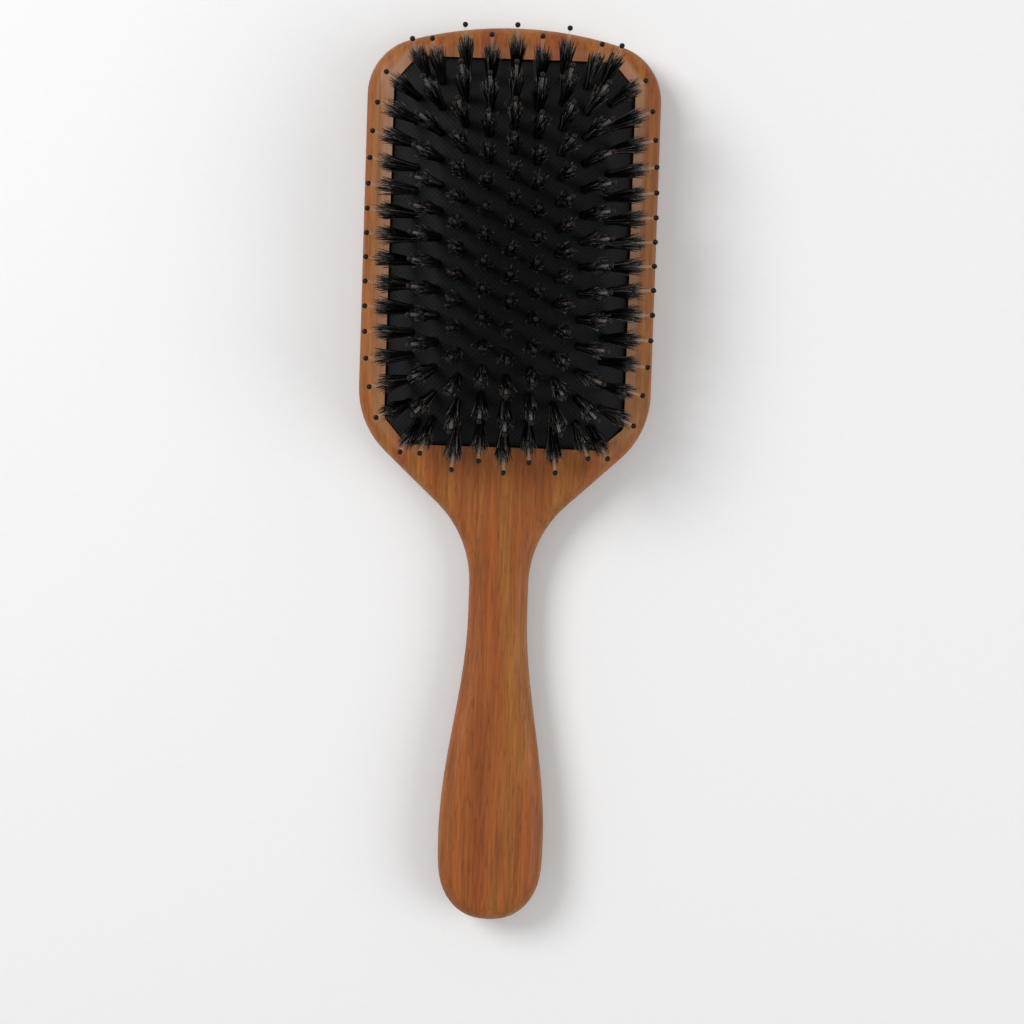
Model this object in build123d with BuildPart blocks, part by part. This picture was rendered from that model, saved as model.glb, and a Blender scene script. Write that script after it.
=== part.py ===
"""Cushioned wooden paddle brush, lying on its flat back with the bristles up.

Frame: millimetres, +Z up, +Y from the handle towards the crown of the head, +X to the right.
The origin is the centre of the underside of the bounding box.
"""

import os
from math import copysign, sqrt

from build123d import *

# Wooden body, outline seen from above; the distances run down from the crown of the head
LENGTH = 245.0
HEAD_HALF_WIDTH = 40.1
CROWN_RADIUS = 104.0
CROWN_CORNER_RADIUS = 15.5
SHOULDER_FROM_CROWN = 109.2
NECK_FROM_CROWN = 138.9
SHOULDER_RADIUS = 24.0
NECK_RADIUS = 30.0
NECK_HALF_WIDTH = 8.15
NECK_END_FROM_CROWN = 160.0
GRIP_HALF_WIDTH = 14.5
GRIP_FROM_CROWN = 222.0
BUTT_FLANK_HALF_WIDTH = 12.0
BUTT_FLANK_FROM_CROWN = 238.3

# Wooden body, seen from the side
HEAD_THICKNESS = 13.0
NECK_TOP = 12.4
NECK_BOTTOM = 0.9
GRIP_TOP = 14.4
BUTT_TOP = 13.0
BUTT_SLOPE = 0.2
TAPER_START_FROM_CROWN = 127.5
FACE_ROUNDING = 4.4
BACK_ROUNDING = 5.2

# Rubber cushion
PAD_HALF_WIDTH = 32.5
PAD_HALF_LENGTH = 52.4
PAD_FROM_CROWN = 61.5
PAD_BEVEL_X = 6.0
PAD_BEVEL_Y = 7.0
PAD_CORNER_ROUNDING = 2.5
PAD_EDGE_BELOW_FACE = 1.2
DOME_HEIGHT = 10.6
DOME_POWER_X = 3.4
DOME_POWER_Y = 4.0
DOME_GRID_X = 12
DOME_GRID_Y = 18
DOME_MARGIN = 1.0
DOME_TOLERANCE = 0.005
RUBBER_THICKNESS = 1.6
SKIRT_THICKNESS = 1.8
LIP_WIDTH = 1.5
LIP_HEIGHT = 1.8
VENT_RADIUS = 0.6
HOLE_LENGTH = 6.4

# Recess in the head, and the groove in its wall that holds the cushion's lip
RECESS_DEPTH = 7.0
RECESS_CLEARANCE = 0.3
GROOVE_TOP_BELOW_FACE = 3.6
GROOVE_HEIGHT = 2.0

# Tufts, in nine columns: the outermost pair, the long ones and the short ones between them
OUTER_COLUMN = 4
COLUMN_PITCH = 6.5
TUFTS_IN_OUTER_COLUMN = 16
TUFTS_IN_LONG_COLUMN = 15
TUFTS_IN_SHORT_COLUMN = 14
LONG_COLUMN_END = 47.5
SHORT_COLUMN_END = 45.6
CORNER_DRAW_IN_X = 2.4
CORNER_DRAW_IN_Y = 0.9
HOLE_CLEARANCE = 0.05

# One tuft: its pin, the dipped ball tip and the bristles around the pin
PIN_RADIUS = 0.4
PIN_REACH = 22.8
FOOT_RADIUS = 1.9
FOOT_THICKNESS = 0.8
FOOT_GAP = 0.15
BALL_RADIUS = 0.72
BUNDLE_RADIUS = 1.1
BUNDLE_REACH = 1.0
BRISTLE_REACH = 16.4
FLARE_RADIUS = 2.5
SLIP = 0.03

# How far cutting shapes pass beyond what they cut, and limits for picking edges and corners
OVERSHOOT = 1.0
SAME_LEVEL = 0.1
STRAIGHT_ACROSS = 0.01
UPRIGHT = 0.9

# Levels and places worked out from the sizes above
TOP = LENGTH / 2
PAD_CENTRE = TOP - PAD_FROM_CROWN
TAPER_START = TOP - TAPER_START_FROM_CROWN
NECK_END = TOP - NECK_END_FROM_CROWN
GRIP = TOP - GRIP_FROM_CROWN
CROWN_DROP = CROWN_RADIUS - sqrt(CROWN_RADIUS**2 - HEAD_HALF_WIDTH**2)
CROWN_MID_DROP = CROWN_RADIUS - sqrt(CROWN_RADIUS**2 - HEAD_HALF_WIDTH**2 / 4)
GROOVE_FLOOR = HEAD_THICKNESS - GROOVE_TOP_BELOW_FACE - GROOVE_HEIGHT
LIP_FLOOR = GROOVE_FLOOR + (GROOVE_HEIGHT - LIP_HEIGHT) / 2
PAD_EDGE = HEAD_THICKNESS - PAD_EDGE_BELOW_FACE
FOOT_TOP = -RUBBER_THICKNESS - FOOT_GAP
SHAFT_END = PIN_REACH - BALL_RADIUS
VENT_FROM_CENTRE = LONG_COLUMN_END / (TUFTS_IN_LONG_COLUMN - 1)

# Zones of the membrane, by the least share of the dome's height that is under a tuft
ZONES = {"centre": 0.86, "middle": 0.62, "border": 0.42, "edge": 0.0}


def dome_share(x, y):
    """Share of the dome's full height at a point measured from the pad's centre."""
    across = 1 - abs(x / PAD_HALF_WIDTH) ** DOME_POWER_X
    along = 1 - abs(y / PAD_HALF_LENGTH) ** DOME_POWER_Y
    return across * along


def dome_point(x, y, drop=0.0):
    """Point of the membrane's upper face, or of the same face lowered by drop."""
    height = PAD_EDGE + DOME_HEIGHT * dome_share(x, y) - drop
    return Vector(x, PAD_CENTRE + y, height)


def dome_normal(x, y):
    """Upward unit normal of the membrane's upper face."""
    step = 0.01
    along_x = dome_point(x + step, y) - dome_point(x - step, y)
    along_y = dome_point(x, y + step) - dome_point(x, y - step)
    return along_x.cross(along_y).normalized()


def dome_face(drop):
    """The membrane's upper face lowered by drop, as one surface wider than the pad."""
    columns = range(-DOME_GRID_X, DOME_GRID_X + 1)
    rows = range(-DOME_GRID_Y, DOME_GRID_Y + 1)
    step_x = (PAD_HALF_WIDTH + DOME_MARGIN) / DOME_GRID_X
    step_y = (PAD_HALF_LENGTH + DOME_MARGIN) / DOME_GRID_Y
    points = [[dome_point(i * step_x, j * step_y, drop) for j in rows] for i in columns]
    return Face.make_surface_from_array_of_points(points, tol=DOME_TOLERANCE)


def pad_sketch(grow=0.0):
    """The cushion's outline, a rectangle with bevelled corners, grown by an allowance."""
    with BuildSketch() as sketch:
        with Locations((0, PAD_CENTRE)):
            pad = Rectangle(2 * PAD_HALF_WIDTH, 2 * PAD_HALF_LENGTH)
        chamfer(pad.vertices(), length=PAD_BEVEL_Y, length2=PAD_BEVEL_X)
        fillet(sketch.vertices(), PAD_CORNER_ROUNDING)
        if grow:
            offset(amount=grow)
    return sketch.sketch


def column_places(column):
    """Centres of the tufts of one column, measured from the pad's centre."""
    count, end = TUFTS_IN_LONG_COLUMN, LONG_COLUMN_END
    if abs(column) == OUTER_COLUMN:
        count = TUFTS_IN_OUTER_COLUMN
    elif column % 2:
        count, end = TUFTS_IN_SHORT_COLUMN, SHORT_COLUMN_END
    for row in range(count):
        x = column * COLUMN_PITCH
        y = end * (2 * row / (count - 1) - 1)
        if abs(column) == OUTER_COLUMN and row in (0, count - 1):
            x -= copysign(CORNER_DRAW_IN_X, x)
            y -= copysign(CORNER_DRAW_IN_Y, y)
        yield x, y


def tuft_places():
    """Centres of all tufts, column by column."""
    for column in range(-OUTER_COLUMN, OUTER_COLUMN + 1):
        yield from column_places(column)


def tuft_plane(x, y):
    """Plane whose origin is on the membrane and whose Z runs along the pin."""
    return Plane(origin=dome_point(x, y), x_dir=(1, 0, 0), z_dir=dome_normal(x, y))


def tuft_planes_by_zone():
    """The planes of all tufts, listed under the name of their zone and side."""
    zones = {}
    for x, y in tuft_places():
        share = dome_share(x, y)
        zone = next(name for name, least in ZONES.items() if share >= least)
        side = "left" if x < 0 or (x == 0 and y < 0) else "right"
        zones.setdefault(f"{zone}_{side}", []).append(tuft_plane(x, y))
    return zones


def on_rim(edge):
    """True for an edge that follows the outline, not upright and not straight across."""
    upright = abs((edge % 0.5).Z) > UPRIGHT
    across = edge.bounding_box().size.Y < STRAIGHT_ACROSS
    return not upright and not across


def save(part, name):
    """Label one finished sub-part and write it."""
    part.label = name
    export_step(part, f"parts/{name}.step")


os.makedirs("parts", exist_ok=True)

with BuildPart() as wooden_body:
    # Outline of head, neck and grip, right half first
    with BuildSketch() as outline:
        with BuildLine():
            crown = ThreePointArc(
                (0, TOP),
                (HEAD_HALF_WIDTH / 2, TOP - CROWN_MID_DROP),
                (HEAD_HALF_WIDTH, TOP - CROWN_DROP),
            )
            Polyline(
                crown @ 1,
                (HEAD_HALF_WIDTH, TOP - SHOULDER_FROM_CROWN),
                (NECK_HALF_WIDTH, TOP - NECK_FROM_CROWN),
                (NECK_HALF_WIDTH, NECK_END),
            )
            flank = Spline(
                (NECK_HALF_WIDTH, NECK_END),
                (GRIP_HALF_WIDTH, GRIP),
                tangents=((0, -1), (0, -1)),
            )
            Spline(
                flank @ 1,
                (BUTT_FLANK_HALF_WIDTH, TOP - BUTT_FLANK_FROM_CROWN),
                (0, -TOP),
                tangents=((0, -1), (-1, 0)),
            )
            mirror(about=Plane.YZ)
        make_face()
        for from_crown, radius in (
            (CROWN_DROP, CROWN_CORNER_RADIUS),
            (SHOULDER_FROM_CROWN, SHOULDER_RADIUS),
            (NECK_FROM_CROWN, NECK_RADIUS),
        ):
            low, high = TOP - from_crown - SAME_LEVEL, TOP - from_crown + SAME_LEVEL
            corners = outline.vertices().filter_by_position(Axis.Y, low, high)
            fillet(corners, radius)
    extrude(amount=GRIP_TOP)

    # Side profile: flat head, waist at the neck, fuller grip
    with BuildSketch(Plane.YZ.offset(-HEAD_HALF_WIDTH - OVERSHOOT)):
        with BuildLine():
            under = Spline(
                (TAPER_START, 0), (NECK_END, NECK_BOTTOM), (GRIP, 0), tangents=((-1, 0), (-1, 0))
            )
            over = Spline(
                (TAPER_START, HEAD_THICKNESS),
                (NECK_END, NECK_TOP),
                (GRIP, GRIP_TOP),
                tangents=((-1, 0), (-1, 0)),
            )
            butt = Spline(
                over @ 1,
                (-TOP - OVERSHOOT, BUTT_TOP),
                tangents=((-1, 0), (-1, -BUTT_SLOPE)),
            )
            Polyline(
                over @ 0,
                (TOP + OVERSHOOT, HEAD_THICKNESS),
                (TOP + OVERSHOOT, 0),
                under @ 0,
            )
            Polyline(under @ 1, (-TOP - OVERSHOOT, 0), butt @ 1)
        make_face()
    extrude(amount=2 * (HEAD_HALF_WIDTH + OVERSHOOT), mode=Mode.INTERSECT)

    # All edges rounded over, the back more than the face
    middle = HEAD_THICKNESS / 2
    back_rim = wooden_body.edges().filter_by(lambda edge: on_rim(edge) and edge.center().Z < middle)
    fillet(back_rim, BACK_ROUNDING)
    face_rim = wooden_body.edges().filter_by(
        lambda edge: on_rim(edge) and edge.center().Z > middle
    )
    fillet(face_rim, FACE_ROUNDING)

    # Recess for the cushion, with an undercut groove for its lip
    with BuildSketch(Plane.XY.offset(HEAD_THICKNESS - RECESS_DEPTH)):
        add(pad_sketch(RECESS_CLEARANCE))
    extrude(amount=RECESS_DEPTH + OVERSHOOT, mode=Mode.SUBTRACT)
    with BuildSketch(Plane.XY.offset(GROOVE_FLOOR)):
        add(pad_sketch(LIP_WIDTH + RECESS_CLEARANCE))
    extrude(amount=GROOVE_HEIGHT, mode=Mode.SUBTRACT)
save(wooden_body.part, "wooden_body")

zones = tuft_planes_by_zone()
all_planes = [plane for planes in zones.values() for plane in planes]

# Air under the membrane, inside the skirt
with BuildPart() as air_chamber:
    with BuildSketch(Plane.XY.offset(LIP_FLOOR - OVERSHOOT)):
        add(pad_sketch(-SKIRT_THICKNESS))
    extrude(amount=DOME_HEIGHT + HEAD_THICKNESS)
    split(bisect_by=dome_face(RUBBER_THICKNESS), keep=Keep.BOTTOM)

with BuildPart() as rubber_cushion:
    # Dome and skirt: the pad's prism, cut off by the membrane's upper face
    with BuildSketch(Plane.XY.offset(LIP_FLOOR)):
        add(pad_sketch())
    extrude(amount=DOME_HEIGHT + HEAD_THICKNESS)
    split(bisect_by=dome_face(0), keep=Keep.BOTTOM)
    # Lip that snaps into the groove
    with BuildSketch(Plane.XY.offset(LIP_FLOOR)):
        add(pad_sketch(LIP_WIDTH))
    extrude(amount=LIP_HEIGHT)
    add(air_chamber.part, mode=Mode.SUBTRACT)
    # One hole for each tuft, and the air vent between the two middle tufts
    with Locations(*all_planes):
        Cylinder(BUNDLE_RADIUS + HOLE_CLEARANCE, HOLE_LENGTH, mode=Mode.SUBTRACT)
    with Locations(dome_point(0, VENT_FROM_CENTRE)):
        Cylinder(VENT_RADIUS, HOLE_LENGTH, mode=Mode.SUBTRACT)
save(rubber_cushion.part, "rubber_cushion")

from_below = (Align.CENTER, Align.CENTER, Align.MIN)
from_above = (Align.CENTER, Align.CENTER, Align.MAX)
for zone, planes in zones.items():
    with BuildPart() as nylon_pins:
        with Locations(*planes):
            with Locations((0, 0, FOOT_TOP)):
                Cylinder(FOOT_RADIUS, FOOT_THICKNESS, align=from_above)
                Cylinder(PIN_RADIUS, SHAFT_END - FOOT_TOP, align=from_below)
    save(nylon_pins.part, f"nylon_pins_{zone}")

    with BuildPart() as ball_tips:
        with Locations(*planes):
            with Locations((0, 0, SHAFT_END)):
                Sphere(BALL_RADIUS)
                Cylinder(PIN_RADIUS + SLIP, 2 * BALL_RADIUS, align=from_above, mode=Mode.SUBTRACT)
    save(ball_tips.part, f"ball_tips_{zone}")

    with BuildPart() as bristle_tufts:
        with Locations(*planes):
            with Locations((0, 0, FOOT_TOP)):
                Cylinder(BUNDLE_RADIUS, BUNDLE_REACH - FOOT_TOP, align=from_below)
            with Locations((0, 0, BUNDLE_REACH)):
                Cone(BUNDLE_RADIUS, FLARE_RADIUS, BRISTLE_REACH - BUNDLE_REACH, align=from_below)
            with Locations((0, 0, FOOT_TOP)):
                Cylinder(PIN_RADIUS + SLIP, PIN_REACH, align=from_below, mode=Mode.SUBTRACT)
    save(bristle_tufts.part, f"bristle_tufts_{zone}")
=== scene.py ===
import math
import random

import bpy
import numpy as np
from mathutils import Matrix, Vector


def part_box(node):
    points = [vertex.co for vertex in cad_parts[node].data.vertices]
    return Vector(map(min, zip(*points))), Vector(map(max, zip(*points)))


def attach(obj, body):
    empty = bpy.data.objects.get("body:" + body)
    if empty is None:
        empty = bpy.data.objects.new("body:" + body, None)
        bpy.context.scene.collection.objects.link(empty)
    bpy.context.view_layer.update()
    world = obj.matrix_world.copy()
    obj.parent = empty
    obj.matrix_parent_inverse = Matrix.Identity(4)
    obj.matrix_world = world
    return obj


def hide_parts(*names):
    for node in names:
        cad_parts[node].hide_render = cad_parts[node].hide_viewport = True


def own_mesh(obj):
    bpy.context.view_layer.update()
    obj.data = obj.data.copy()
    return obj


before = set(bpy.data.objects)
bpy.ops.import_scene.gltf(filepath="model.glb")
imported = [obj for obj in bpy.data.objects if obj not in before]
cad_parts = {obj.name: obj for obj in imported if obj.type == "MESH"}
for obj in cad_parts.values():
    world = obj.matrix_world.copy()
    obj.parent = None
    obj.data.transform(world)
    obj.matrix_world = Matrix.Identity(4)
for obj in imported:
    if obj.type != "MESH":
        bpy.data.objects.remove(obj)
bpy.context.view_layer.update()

MM = 0.001
ZONES = ("centre", "middle", "border", "edge")
SIDES = ("left", "right")

# The cushion's shape, as designed
LIP_WIDTH = 1.5 * MM
DOME_HEIGHT = 10.6 * MM
DOME_POWER_X = 3.4
DOME_POWER_Y = 4.0
RUBBER_THICKNESS = 1.6 * MM
BEVEL_X = 6.0 * MM
BEVEL_Y = 7.0 * MM
CORNER_ROUNDING = 2.5 * MM

# Tufts: how far a tuft's foot lies below the membrane's outer face, and the hairs of one tuft
FOOT_BELOW = 1.75 * MM
BRISTLE_REACH = 16.3 * MM
BRISTLES_PER_TUFT = 125
BRISTLE_RADIUS = 0.125 * MM
ROOT_RADIUS = 1.05 * MM
TIP_RADIUS = 2.8 * MM
PIN_CLEAR = 0.54 * MM
HAIR_START = 0.6 * FOOT_BELOW
HAIR_SIDES = 3
HAIR_TAPERS = (1.0, 1.0, 0.98, 0.92, 0.8, 0.45)
HAIR_STEPS = len(HAIR_TAPERS) - 1

# The small raised collar and dimple where a tuft passes through the membrane
COLLAR_HEIGHT = 0.32 * MM
COLLAR_RADIUS = 1.5 * MM
COLLAR_WIDTH = 0.45 * MM
DIMPLE_DEPTH = 0.35 * MM
DIMPLE_RADIUS = 1.0 * MM

# The cushion's rolled edge, its skirt and the lip on the skirt
EDGE_ROLL_OUT = 0.25 * MM
EDGE_ROLL_DOWN = 0.5 * MM
SKIRT_THICKNESS = 1.8 * MM
LIP_HEIGHT = 1.8 * MM

# Camera: almost straight down on the bristles, the brush turned a little clockwise
CAMERA_OVER = Vector((-6.9 * MM, 25.0 * MM, 700 * MM))
CAMERA_AIM = Vector((3.0 * MM, -9.4 * MM, 10 * MM))
BRUSH_TURN = math.radians(1.88)
LENS_MM = 88.4

# Studio
FLOOR_GAP = 0.2 * MM
FLOOR_REACH = 3.0
SKY_STRENGTH = 0.48


# ---------------------------------------------------------------- node helpers
class Nodes:
    """A material's node tree, with short calls to add and link nodes."""

    def __init__(self, name):
        self.material = bpy.data.materials.new(name)
        self.material.use_nodes = True
        self.tree = self.material.node_tree
        self.tree.nodes.clear()
        self.shader = self.add("ShaderNodeBsdfPrincipled")
        output = self.add("ShaderNodeOutputMaterial")
        self.link(self.shader.outputs[0], output.inputs[0])

    def add(self, kind, **settings):
        node = self.tree.nodes.new(kind)
        for key, value in settings.items():
            setattr(node, key, value)
        return node

    def link(self, source, target):
        self.tree.links.new(source, target)

    def set(self, **values):
        """Fixed values on the shader's own sockets, named with _ for a space."""
        for key, value in values.items():
            self.shader.inputs[key.replace("_", " ")].default_value = value

    def place(self, stretch=(1, 1, 1), turn=(0, 0, 0)):
        """Object coordinates in metres, multiplied by stretch and turned."""
        coordinates = self.add("ShaderNodeTexCoord")
        mapping = self.add("ShaderNodeMapping")
        mapping.inputs["Scale"].default_value = stretch
        mapping.inputs["Rotation"].default_value = turn
        self.link(coordinates.outputs["Object"], mapping.inputs["Vector"])
        return mapping.outputs["Vector"]

    def noise(self, vector, scale=1.0, detail=3.0, roughness=0.5, distortion=0.0):
        node = self.add("ShaderNodeTexNoise")
        node.inputs["Scale"].default_value = scale
        node.inputs["Detail"].default_value = detail
        node.inputs["Roughness"].default_value = roughness
        node.inputs["Distortion"].default_value = distortion
        self.link(vector, node.inputs["Vector"])
        return node.outputs["Fac"]

    def ramp(self, factor, *stops):
        """A colour ramp through stops of (position, colour or grey)."""
        node = self.add("ShaderNodeValToRGB")
        while len(node.color_ramp.elements) < len(stops):
            node.color_ramp.elements.new(0.5)
        for element, (position, colour) in zip(node.color_ramp.elements, stops):
            element.position = position
            grey = isinstance(colour, (int, float))
            element.color = (colour, colour, colour, 1) if grey else (*colour, 1)
        self.link(factor, node.inputs["Fac"])
        return node.outputs["Color"]

    def mix(self, factor, a, b, blend="MIX"):
        node = self.add("ShaderNodeMix", data_type="RGBA", blend_type=blend)
        for socket, value in ((node.inputs[0], factor), (node.inputs[6], a), (node.inputs[7], b)):
            if isinstance(value, bpy.types.NodeSocket):
                self.link(value, socket)
            elif isinstance(value, (int, float)):
                socket.default_value = value
            else:
                socket.default_value = (*value, 1)
        return node.outputs[2]

    def math(self, operation, a, b=0.0):
        node = self.add("ShaderNodeMath", operation=operation)
        for socket, value in ((node.inputs[0], a), (node.inputs[1], b)):
            if isinstance(value, bpy.types.NodeSocket):
                self.link(value, socket)
            else:
                socket.default_value = value
        return node.outputs[0]

    def bump(self, height, distance, strength=1.0):
        node = self.add("ShaderNodeBump")
        node.inputs["Distance"].default_value = distance
        node.inputs["Strength"].default_value = strength
        self.link(height, node.inputs["Height"])
        self.link(node.outputs["Normal"], self.shader.inputs["Normal"])


# ------------------------------------------------------------------- materials
def wood_material():
    """Orange-brown varnished wood, its grain along the brush, with a painted reflection: a paler
    band beside the cushion.
    """
    m = Nodes("varnished_wood")
    broad = m.noise(m.place((110, 6, 70)), 1.0, 2.0, 0.5, 0.6)
    streak = m.noise(m.place((560, 20, 320)), 1.0, 4.0, 0.6, 0.9)
    fine = m.noise(m.place((2400, 110, 1500)), 1.0, 2.0, 0.55)
    fleck = m.noise(m.place((1500, 220, 1500)), 1.0, 1.0, 0.4)
    colour = m.ramp(
        broad,
        (0.32, (0.262, 0.064, 0.0125)),
        (0.46, (0.275, 0.080, 0.0160)),
        (0.56, (0.300, 0.108, 0.0200)),
        (0.68, (0.262, 0.074, 0.0150)),
    )
    streaks = m.ramp(streak, (0.34, 0.70), (0.48, 0.95), (0.62, 1.14), (0.75, 1.30))
    colour = m.mix(0.85, colour, streaks, "MULTIPLY")
    threads = m.ramp(fine, (0.35, 0.72), (0.60, 1.10))
    colour = m.mix(0.6, colour, threads, "MULTIPLY")
    pores = m.ramp(fleck, (0.30, 0.55), (0.39, 1.0))
    colour = m.mix(0.45, colour, pores, "MULTIPLY")
    # Painted reflection: beside the cushion the wood is mixed towards a pale pinkish colour,
    # standing in for the lamps mirrored in the varnish.
    colour = m.mix(painted_reflection_band(m), colour, (0.47, 0.30, 0.21))
    m.link(colour, m.shader.inputs["Base Color"])
    m.link(m.ramp(streak, (0.3, 0.54), (0.7, 0.42)), m.shader.inputs["Roughness"])
    m.set(Specular_IOR_Level=0.22, Coat_Weight=0.08, Coat_Roughness=0.3)
    m.bump(m.math("ADD", m.math("MULTIPLY", streak, 0.5), fine), 0.00006, 0.5)
    return m.material


def painted_reflection_band(m):
    """Mixing factor for a painted reflection, paler wood standing in for the lamps mirrored in
    the varnish: highest beside the cushion, 0 on the rest of the body.
    """
    low, high = pad_box()
    centre = (low + high) / 2
    band_width = 3.2 * MM
    softness = 1.4 * MM
    coordinates = m.add("ShaderNodeTexCoord")
    split = m.add("ShaderNodeSeparateXYZ")
    m.link(coordinates.outputs["Object"], split.inputs[0])
    reach_x = m.math("ABSOLUTE", m.math("SUBTRACT", split.outputs[0], centre.x))
    reach_y = m.math("ABSOLUTE", m.math("SUBTRACT", split.outputs[1], centre.y))
    over_x = m.math("SUBTRACT", reach_x, (high.x - low.x) / 2 + band_width)
    over_y = m.math("SUBTRACT", reach_y, (high.y - low.y) / 2 + band_width)
    bevel_x = m.math("MULTIPLY", reach_x, BEVEL_Y / math.hypot(BEVEL_X, BEVEL_Y))
    bevel_y = m.math("MULTIPLY", reach_y, BEVEL_X / math.hypot(BEVEL_X, BEVEL_Y))
    corner = ((high.x - low.x) / 2 - BEVEL_X) * BEVEL_Y + (high.y - low.y) / 2 * BEVEL_X
    corner = corner / math.hypot(BEVEL_X, BEVEL_Y) + band_width
    over_bevel = m.math("SUBTRACT", m.math("ADD", bevel_x, bevel_y), corner)
    outside = m.math("MAXIMUM", m.math("MAXIMUM", over_x, over_y), over_bevel)
    inside = m.math("SUBTRACT", 0.5, m.math("DIVIDE", outside, softness))
    clamp = m.add("ShaderNodeClamp")
    m.link(inside, clamp.inputs[0])
    # The painted reflection is strongest along the long sides and on the upper part of the band,
    # where the rim catches the light.
    beside = m.ramp(m.math("DIVIDE", reach_x, (high.x - low.x) / 2), (0.72, 0.14), (0.96, 0.58))
    height = m.math("DIVIDE", m.math("SUBTRACT", split.outputs[1], low.y), high.y - low.y)
    upward = m.ramp(height, (0.0, 0.30), (0.45, 1.0))
    patches = m.ramp(m.noise(m.place((260, 60, 260)), 1.0, 3.0), (0.32, 0.60), (0.62, 1.0))
    share = m.math("MULTIPLY", m.math("MULTIPLY", beside, upward), patches)
    return m.math("MULTIPLY", clamp.outputs[0], share)


def rubber_material():
    """Charcoal rubber with a fine diagonal cloth-like texture."""
    m = Nodes("textured_rubber")
    weave = []
    for turn in (math.radians(45), math.radians(-45)):
        wave = m.add("ShaderNodeTexWave", wave_type="BANDS", bands_direction="X")
        wave.inputs["Scale"].default_value = 300
        wave.inputs["Distortion"].default_value = 0.6
        m.link(m.place((1, 1, 1), (0, 0, turn)), wave.inputs["Vector"])
        weave.append(wave.outputs["Fac"])
    threads = m.math("MAXIMUM", weave[0], weave[1])
    dust = m.noise(m.place(), 260.0, 4.0, 0.65)
    shade = m.ramp(threads, (0.2, (0.0040, 0.0038, 0.0042)), (0.9, (0.0085, 0.0080, 0.0085)))
    shade = m.mix(m.ramp(dust, (0.45, 0.0), (0.75, 0.35)), shade, (0.019, 0.018, 0.018))
    m.link(shade, m.shader.inputs["Base Color"])
    m.link(m.ramp(dust, (0.3, 0.62), (0.7, 0.80)), m.shader.inputs["Roughness"])
    m.set(Specular_IOR_Level=0.15)
    m.bump(threads, 0.00012, 0.6)
    return m.material


def bristle_material():
    """Black boar bristle: glossy, with a few greyer hairs painted in as highlights of hairs
    catching the light.
    """
    m = Nodes("boar_bristle")
    tone = m.add("ShaderNodeAttribute", attribute_name="tone").outputs["Fac"]
    along = m.noise(m.place(), 700.0, 1.0, 0.5)
    # The grey top of this ramp is a painted highlight: a random few hairs are coloured grey to
    # stand in for lit, glinting hairs.
    shade = m.ramp(
        tone,
        (0.0, (0.0030, 0.0026, 0.0026)),
        (0.68, (0.0090, 0.0080, 0.0078)),
        (0.82, (0.050, 0.046, 0.044)),
        (1.0, (0.200, 0.185, 0.170)),
    )
    shade = m.mix(0.6, shade, m.ramp(along, (0.35, 0.6), (0.65, 1.2)), "MULTIPLY")
    m.link(shade, m.shader.inputs["Base Color"])
    m.link(m.ramp(along, (0.3, 0.38), (0.7, 0.28)), m.shader.inputs["Roughness"])
    m.set(Specular_IOR_Level=0.35)
    return m.material


def pin_material():
    """Pale translucent nylon."""
    m = Nodes("clear_nylon")
    cloud = m.noise(m.place(), 900.0, 2.0)
    shade = m.ramp(cloud, (0.3, (0.60, 0.50, 0.43)), (0.7, (0.74, 0.64, 0.57)))
    m.link(shade, m.shader.inputs["Base Color"])
    m.link(m.ramp(cloud, (0.3, 0.28), (0.7, 0.40)), m.shader.inputs["Roughness"])
    m.set(Specular_IOR_Level=0.22, Alpha=0.11)
    return m.material


def bead_material():
    """Very dark brown dipped bead, glossy."""
    m = Nodes("dipped_bead")
    cloud = m.noise(m.place(), 1600.0, 2.0)
    shade = m.ramp(cloud, (0.3, (0.006, 0.003, 0.002)), (0.7, (0.012, 0.0065, 0.0045)))
    m.link(shade, m.shader.inputs["Base Color"])
    m.link(m.ramp(cloud, (0.3, 0.25), (0.7, 0.36)), m.shader.inputs["Roughness"])
    m.set(Specular_IOR_Level=0.14)
    return m.material


# ---------------------------------------------------------------- mesh helpers
def make_mesh(name, points, faces, material, smooth=True):
    """A mesh object from points and faces in the row frame."""
    mesh = bpy.data.meshes.new(name)
    mesh.from_pydata([tuple(p) for p in points], [], faces)
    mesh.materials.append(material)
    mesh.validate()
    mesh.polygons.foreach_set("use_smooth", [smooth] * len(mesh.polygons))
    mesh.update()
    piece = bpy.data.objects.new(name, mesh)
    bpy.context.scene.collection.objects.link(piece)
    return piece


def ring_faces(rings, count):
    """Quads between rings of count points each, the rings listed one after another."""
    faces = []
    for ring in range(rings - 1):
        for i in range(count):
            j = (i + 1) % count
            a, b = ring * count, (ring + 1) * count
            faces.append((a + i, a + j, b + j, b + i))
    return faces


def solids(node):
    """The separate solids of a CAD node, each as an array of its vertices."""
    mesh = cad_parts[node].data
    places = {}
    index = []
    for vertex in mesh.vertices:
        key = tuple(round(c * 1e6) for c in vertex.co)
        index.append(places.setdefault(key, len(places)))
    parent = list(range(len(places)))

    def root(i):
        while parent[i] != i:
            parent[i] = parent[parent[i]]
            i = parent[i]
        return i

    for edge in mesh.edges:
        a, b = (root(index[v]) for v in edge.vertices)
        parent[a] = b
    groups = {}
    for key, i in places.items():
        groups.setdefault(root(i), []).append(key)
    found = [np.array(sorted(keys), float) * 1e-6 for keys in groups.values()]
    return sorted(found, key=lambda solid: tuple(solid.mean(0)))


def tuft_axis(solid):
    """The lowest point and the direction of a tuft's axis, from its CAD solid."""
    middle = solid.mean(0)
    direction = np.linalg.svd(solid - middle)[2][0]
    if direction[2] < 0:
        direction = -direction
    along = (solid - middle) @ direction
    foot = solid[along < along.min() + 0.1 * MM].mean(0)
    head = solid[along > along.max() - 0.1 * MM].mean(0)
    axis = (head - foot) / np.linalg.norm(head - foot)
    return foot, axis


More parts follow.
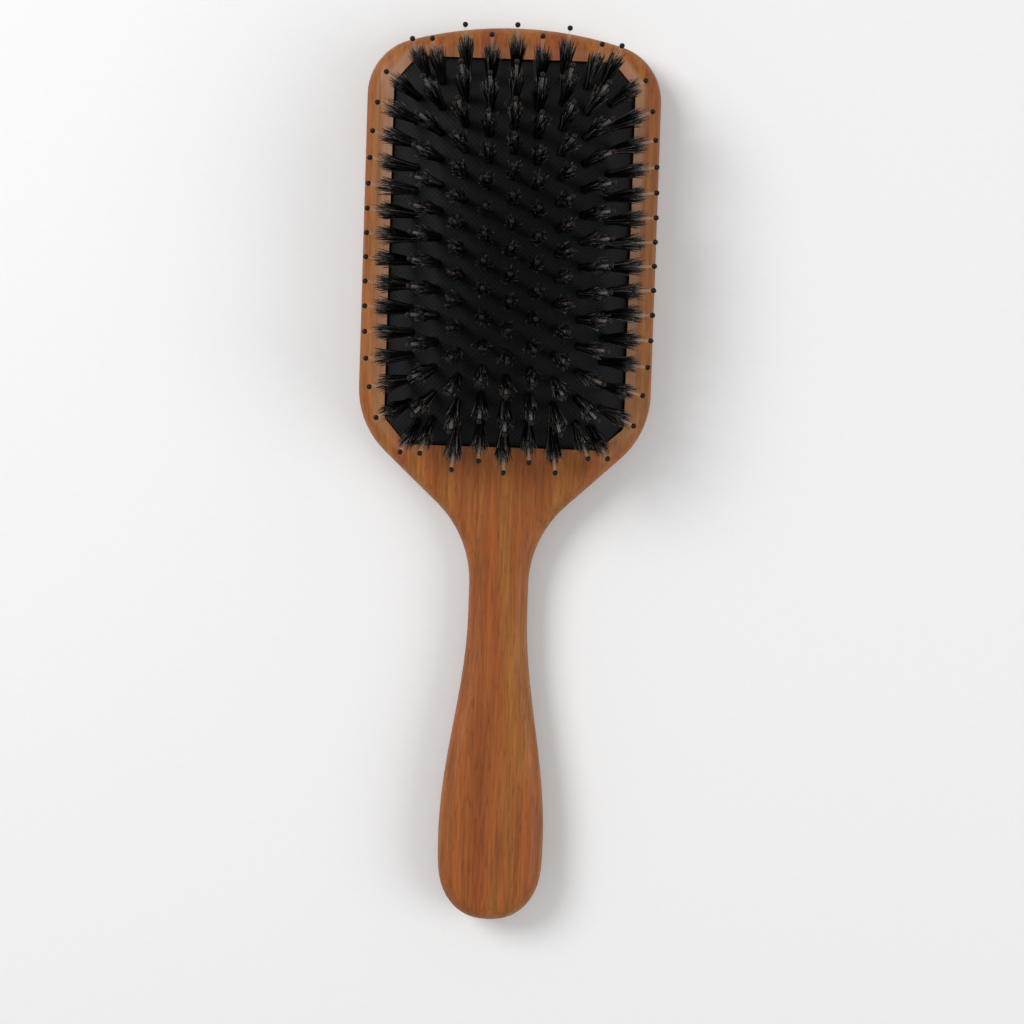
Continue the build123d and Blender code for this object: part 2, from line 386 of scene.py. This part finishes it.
# --------------------------------------------------------------------- cushion
def pad_box():
    """Lowest and highest corner of the cushion without its hidden lip."""
    low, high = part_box("rubber_cushion")
    lip = Vector((LIP_WIDTH, LIP_WIDTH, 0))
    return low + lip, high - lip


def pad_outline(count):
    """Points around the pad, evenly spread: a rectangle with bevelled, rounded corners."""
    low, high = pad_box()
    centre, half = (low + high) / 2, (high - low) / 2
    corners = []
    for sx, sy in ((1, 1), (-1, 1), (-1, -1), (1, -1)):
        side = Vector((sx * half.x, sy * (half.y - BEVEL_Y)))
        end = Vector((sx * (half.x - BEVEL_X), sy * half.y))
        corners += [side, end] if sx == sy else [end, side]
    points = []
    for i, corner in enumerate(corners):
        back = (corners[i - 1] - corner).normalized()
        ahead = (corners[(i + 1) % len(corners)] - corner).normalized()
        half_turn = (math.pi - back.angle(ahead)) / 2
        reach = CORNER_ROUNDING * math.tan(half_turn)
        start, stop = corner + back * reach, corner + ahead * reach
        for step in range(9):
            t = step / 8
            points.append(start * (1 - t) ** 2 + corner * 2 * t * (1 - t) + stop * t * t)
    points = np.array([(centre.x + p.x, centre.y + p.y) for p in points])
    loop = np.vstack([points, points[:1]])
    run = np.concatenate([[0], np.cumsum(np.linalg.norm(np.diff(loop, axis=0), axis=1))])
    at = np.linspace(0, run[-1], count, endpoint=False)
    return np.stack([np.interp(at, run, loop[:, k]) for k in (0, 1)], axis=1)


def dome_share(x, y):
    """Share of the dome's height at a place on the pad, 0 outside its edge."""
    low, high = pad_box()
    centre, half = (low + high) / 2, (high - low) / 2
    across = 1 - np.abs((x - centre.x) / half.x) ** DOME_POWER_X
    along = 1 - np.abs((y - centre.y) / half.y) ** DOME_POWER_Y
    return np.clip(across, 0, 1) * np.clip(along, 0, 1)


def cushion_dome(tuft_roots, material):
    """The visible membrane: domed, and drawn in a little around every tuft."""
    count, rings = 440, 96
    outline = pad_outline(count)
    edge = pad_box()[1].z - DOME_HEIGHT
    centre = outline.mean(0)
    reaches = 1 - (1 - np.linspace(0.004, 1, rings)) ** 1.25
    upper = []
    for reach in reaches:
        flat = centre + (outline - centre) * reach
        height = edge + DOME_HEIGHT * dome_share(flat[:, 0], flat[:, 1])
        upper.append(np.column_stack([flat, height]))
    upper = np.concatenate(upper)
    for root in tuft_roots:
        away = np.linalg.norm(upper[:, :2] - root[:2], axis=1)
        collar = COLLAR_HEIGHT * np.exp(-(((away - COLLAR_RADIUS) / COLLAR_WIDTH) ** 2))
        dimple = DIMPLE_DEPTH * np.exp(-((away / DIMPLE_RADIUS) ** 2))
        upper[:, 2] += collar - dimple
    rim = upper[-count:]
    inward = centre - rim[:, :2]
    inward /= np.linalg.norm(inward, axis=1)[:, None]
    rolled = []
    for angle in np.radians((30, 60, 90)):
        turned = rim.copy()
        turned[:, :2] -= inward * EDGE_ROLL_OUT * math.sin(angle)
        turned[:, 2] -= EDGE_ROLL_DOWN * (1 - math.cos(angle))
        rolled.append(turned)
    lower = upper.reshape(rings, count, 3)[::-1].reshape(-1, 3).copy()
    lower[:, 2] -= RUBBER_THICKNESS
    points = np.concatenate([upper, *rolled, lower])
    total = 2 * rings + len(rolled)
    faces = ring_faces(total, count)
    faces.append(tuple(reversed(range(count))))
    last = (total - 1) * count
    faces.append(tuple(range(last, last + count)))
    return make_mesh("cushion_dome", points, faces, material)


def cushion_skirt(material):
    """The part of the membrane inside the recess: a wall with the lip that grips the groove."""
    count = 240
    outline = pad_outline(count)
    centre = outline.mean(0)
    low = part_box("rubber_cushion")[0]
    edge = pad_box()[1].z - DOME_HEIGHT
    out = outline - centre
    out /= np.linalg.norm(out, axis=1)[:, None]
    lip_top = low.z + LIP_HEIGHT
    profile = (
        (-0.3 * MM, edge - 0.7 * MM),
        (-0.3 * MM, lip_top + 0.3 * MM),
        (0.2 * MM, lip_top),
        (LIP_WIDTH - 0.3 * MM, lip_top),
        (LIP_WIDTH - 0.1 * MM, lip_top - 0.3 * MM),
        (LIP_WIDTH - 0.1 * MM, low.z + 0.3 * MM),
        (LIP_WIDTH - 0.3 * MM, low.z),
        (-SKIRT_THICKNESS, low.z),
        (-SKIRT_THICKNESS, edge - 1.9 * MM),
        (-0.9 * MM, edge - 1.9 * MM),
        (-0.9 * MM, edge - 0.9 * MM),
    )
    rings = []
    for shift, height in profile:
        flat = outline + out * shift
        rings.append(np.column_stack([flat, np.full(count, height)]))
    faces = ring_faces(len(profile), count)
    last = (len(profile) - 1) * count
    for i in range(count):
        j = (i + 1) % count
        faces.append((last + i, last + j, j, i))
    return make_mesh("cushion_skirt", np.concatenate(rings), faces, material)


# -------------------------------------------------------------------- bristles
def side_vectors(axis):
    """Two unit vectors square to an axis and to each other."""
    across = np.cross(axis, (0.0, 1.0, 0.0))
    across /= np.linalg.norm(across)
    return across, np.cross(axis, across)


def tuft_strands(foot, axis, dice):
    """The centre lines and radii of one tuft's bristles, splayed unevenly at their tips."""
    across, along = side_vectors(axis)
    strands = []
    for _ in range(BRISTLES_PER_TUFT):
        angle = dice.uniform(0, 2 * math.pi)
        share = dice.uniform(0, 1) ** 0.7
        outward = across * math.cos(angle) + along * math.sin(angle)
        sideways = across * -math.sin(angle) + along * math.cos(angle)
        root = PIN_CLEAR + (ROOT_RADIUS - PIN_CLEAR) * share
        splay = PIN_CLEAR + (TIP_RADIUS - PIN_CLEAR) * share * dice.uniform(0.45, 1.15)
        drift = dice.gauss(0, 0.40 * MM)
        length = BRISTLE_REACH * dice.choice((1.0, 0.97, 0.92, 0.84)) * dice.uniform(0.94, 1.02)
        line = []
        for step in range(HAIR_STEPS + 1):
            t = step / HAIR_STEPS
            out = root + (splay - root) * t**1.4
            height = HAIR_START + (FOOT_BELOW - HAIR_START + length) * t
            line.append(foot + axis * height + outward * out + sideways * drift * t * t)
        strands.append(np.array(line))
    return strands


def strands_mesh(name, strands, dice, material):
    """Thin three-sided tapering hairs along the given centre lines, as one mesh."""
    points, faces, hair_sheen_tones = [], [], []
    for line in strands:
        start = len(points)
        across, along = side_vectors((line[-1] - line[0]) / np.linalg.norm(line[-1] - line[0]))
        # Each hair gets a random tone; the highest tones make the grey hairs that stand in for
        # painted highlights.
        hair_sheen_tones += [dice.uniform(0, 1)] * HAIR_SIDES * len(line)
        for centre, taper in zip(line, HAIR_TAPERS):
            for corner in range(HAIR_SIDES):
                angle = corner * 2 * math.pi / HAIR_SIDES
                offset = across * math.cos(angle) + along * math.sin(angle)
                points.append(centre + offset * BRISTLE_RADIUS * taper)
        faces += [tuple(start + i for i in face) for face in ring_faces(len(line), HAIR_SIDES)]
        end = start + HAIR_SIDES * (len(line) - 1)
        faces.append(tuple(start + i for i in reversed(range(HAIR_SIDES))))
        faces.append(tuple(end + i for i in range(HAIR_SIDES)))
    piece = make_mesh(name, points, faces, material)
    piece.data.attributes.new("tone", "FLOAT", "POINT").data.foreach_set("value", hair_sheen_tones)
    return piece


def dress_tufts(material):
    """Real bristles in place of each CAD tuft node; returns the roots of all tufts."""
    roots = []
    for zone in ZONES:
        for side in SIDES:
            node = f"bristle_tufts_{zone}_{side}"
            dice = random.Random(node)
            strands = []
            for solid in solids(node):
                foot, axis = tuft_axis(solid)
                strands += tuft_strands(foot, axis, dice)
                roots.append(foot + axis * FOOT_BELOW)
            piece = strands_mesh(f"bristles_{zone}_{side}", strands, dice, material)
            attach(piece, f"{zone}_field")
            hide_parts(node)
    return roots


# ----------------------------------------------------------------------- scene
def paint(node, material):
    """Give a CAD node its material."""
    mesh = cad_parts[node].data
    mesh.materials.clear()
    mesh.materials.append(material)


def add_camera():
    camera = bpy.data.objects.new("camera", bpy.data.cameras.new("camera"))
    bpy.context.scene.collection.objects.link(camera)
    back = (CAMERA_OVER - CAMERA_AIM).normalized()
    up = Vector((-math.sin(BRUSH_TURN), math.cos(BRUSH_TURN), 0))
    right = up.cross(back).normalized()
    turned = Matrix((right, back.cross(right), back)).transposed().to_4x4()
    camera.matrix_world = Matrix.Translation(CAMERA_OVER) @ turned
    camera.data.lens = LENS_MM
    camera.data.clip_start = 0.01
    bpy.context.scene.camera = camera


def add_light(name, place, aim, size, power):
    data = bpy.data.lights.new(name, "AREA")
    data.shape = "DISK"
    data.size = size
    data.energy = power
    lamp = bpy.data.objects.new(name, data)
    lamp.location = place
    lamp.rotation_euler = (Vector(aim) - Vector(place)).to_track_quat("-Z", "Y").to_euler()
    bpy.context.scene.collection.objects.link(lamp)


def add_studio():
    """A plain pale floor, an even pale sky and two soft lamps."""
    floor_material = Nodes("floor_paper")
    tone = floor_material.noise(floor_material.place(), 600.0, 2.0)
    shade = floor_material.ramp(tone, (0.3, 0.805), (0.7, 0.815))
    floor_material.link(shade, floor_material.shader.inputs["Base Color"])
    floor_material.set(Roughness=0.9)
    around = ((-1, -1), (1, -1), (1, 1), (-1, 1))
    corners = [(x * FLOOR_REACH, y * FLOOR_REACH, 0) for x, y in around]
    floor = make_mesh("floor", corners, [(0, 1, 2, 3)], floor_material.material, smooth=False)
    floor.location.z = -FLOOR_GAP

    world = bpy.data.worlds.new("studio")
    world.use_nodes = True
    world.node_tree.nodes["Background"].inputs[0].default_value = (1, 1, 1, 1)
    world.node_tree.nodes["Background"].inputs[1].default_value = SKY_STRENGTH
    bpy.context.scene.world = world
    aim = (0, 0.03, 0.01)
    add_light("key", (-0.70, 0.45, 0.85), aim, size=0.6, power=8.8)
    add_light("fill", (0.85, -0.15, 0.75), aim, size=0.8, power=4.4)
    bpy.context.scene.view_settings.view_transform = "Standard"


def main():
    add_camera()
    add_studio()
    wood = wood_material()
    rubber = rubber_material()
    nylon = pin_material()
    bead = bead_material()
    paint("wooden_body", wood)
    for zone in ZONES:
        for side in SIDES:
            paint(f"nylon_pins_{zone}_{side}", nylon)
            paint(f"ball_tips_{zone}_{side}", bead)
    roots = dress_tufts(bristle_material())

    dome = cushion_dome(roots, rubber)
    skirt = cushion_skirt(rubber)
    for piece in (dome, skirt):
        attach(piece, "brush_body")
        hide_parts("rubber_cushion")
    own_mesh(dome)


main()
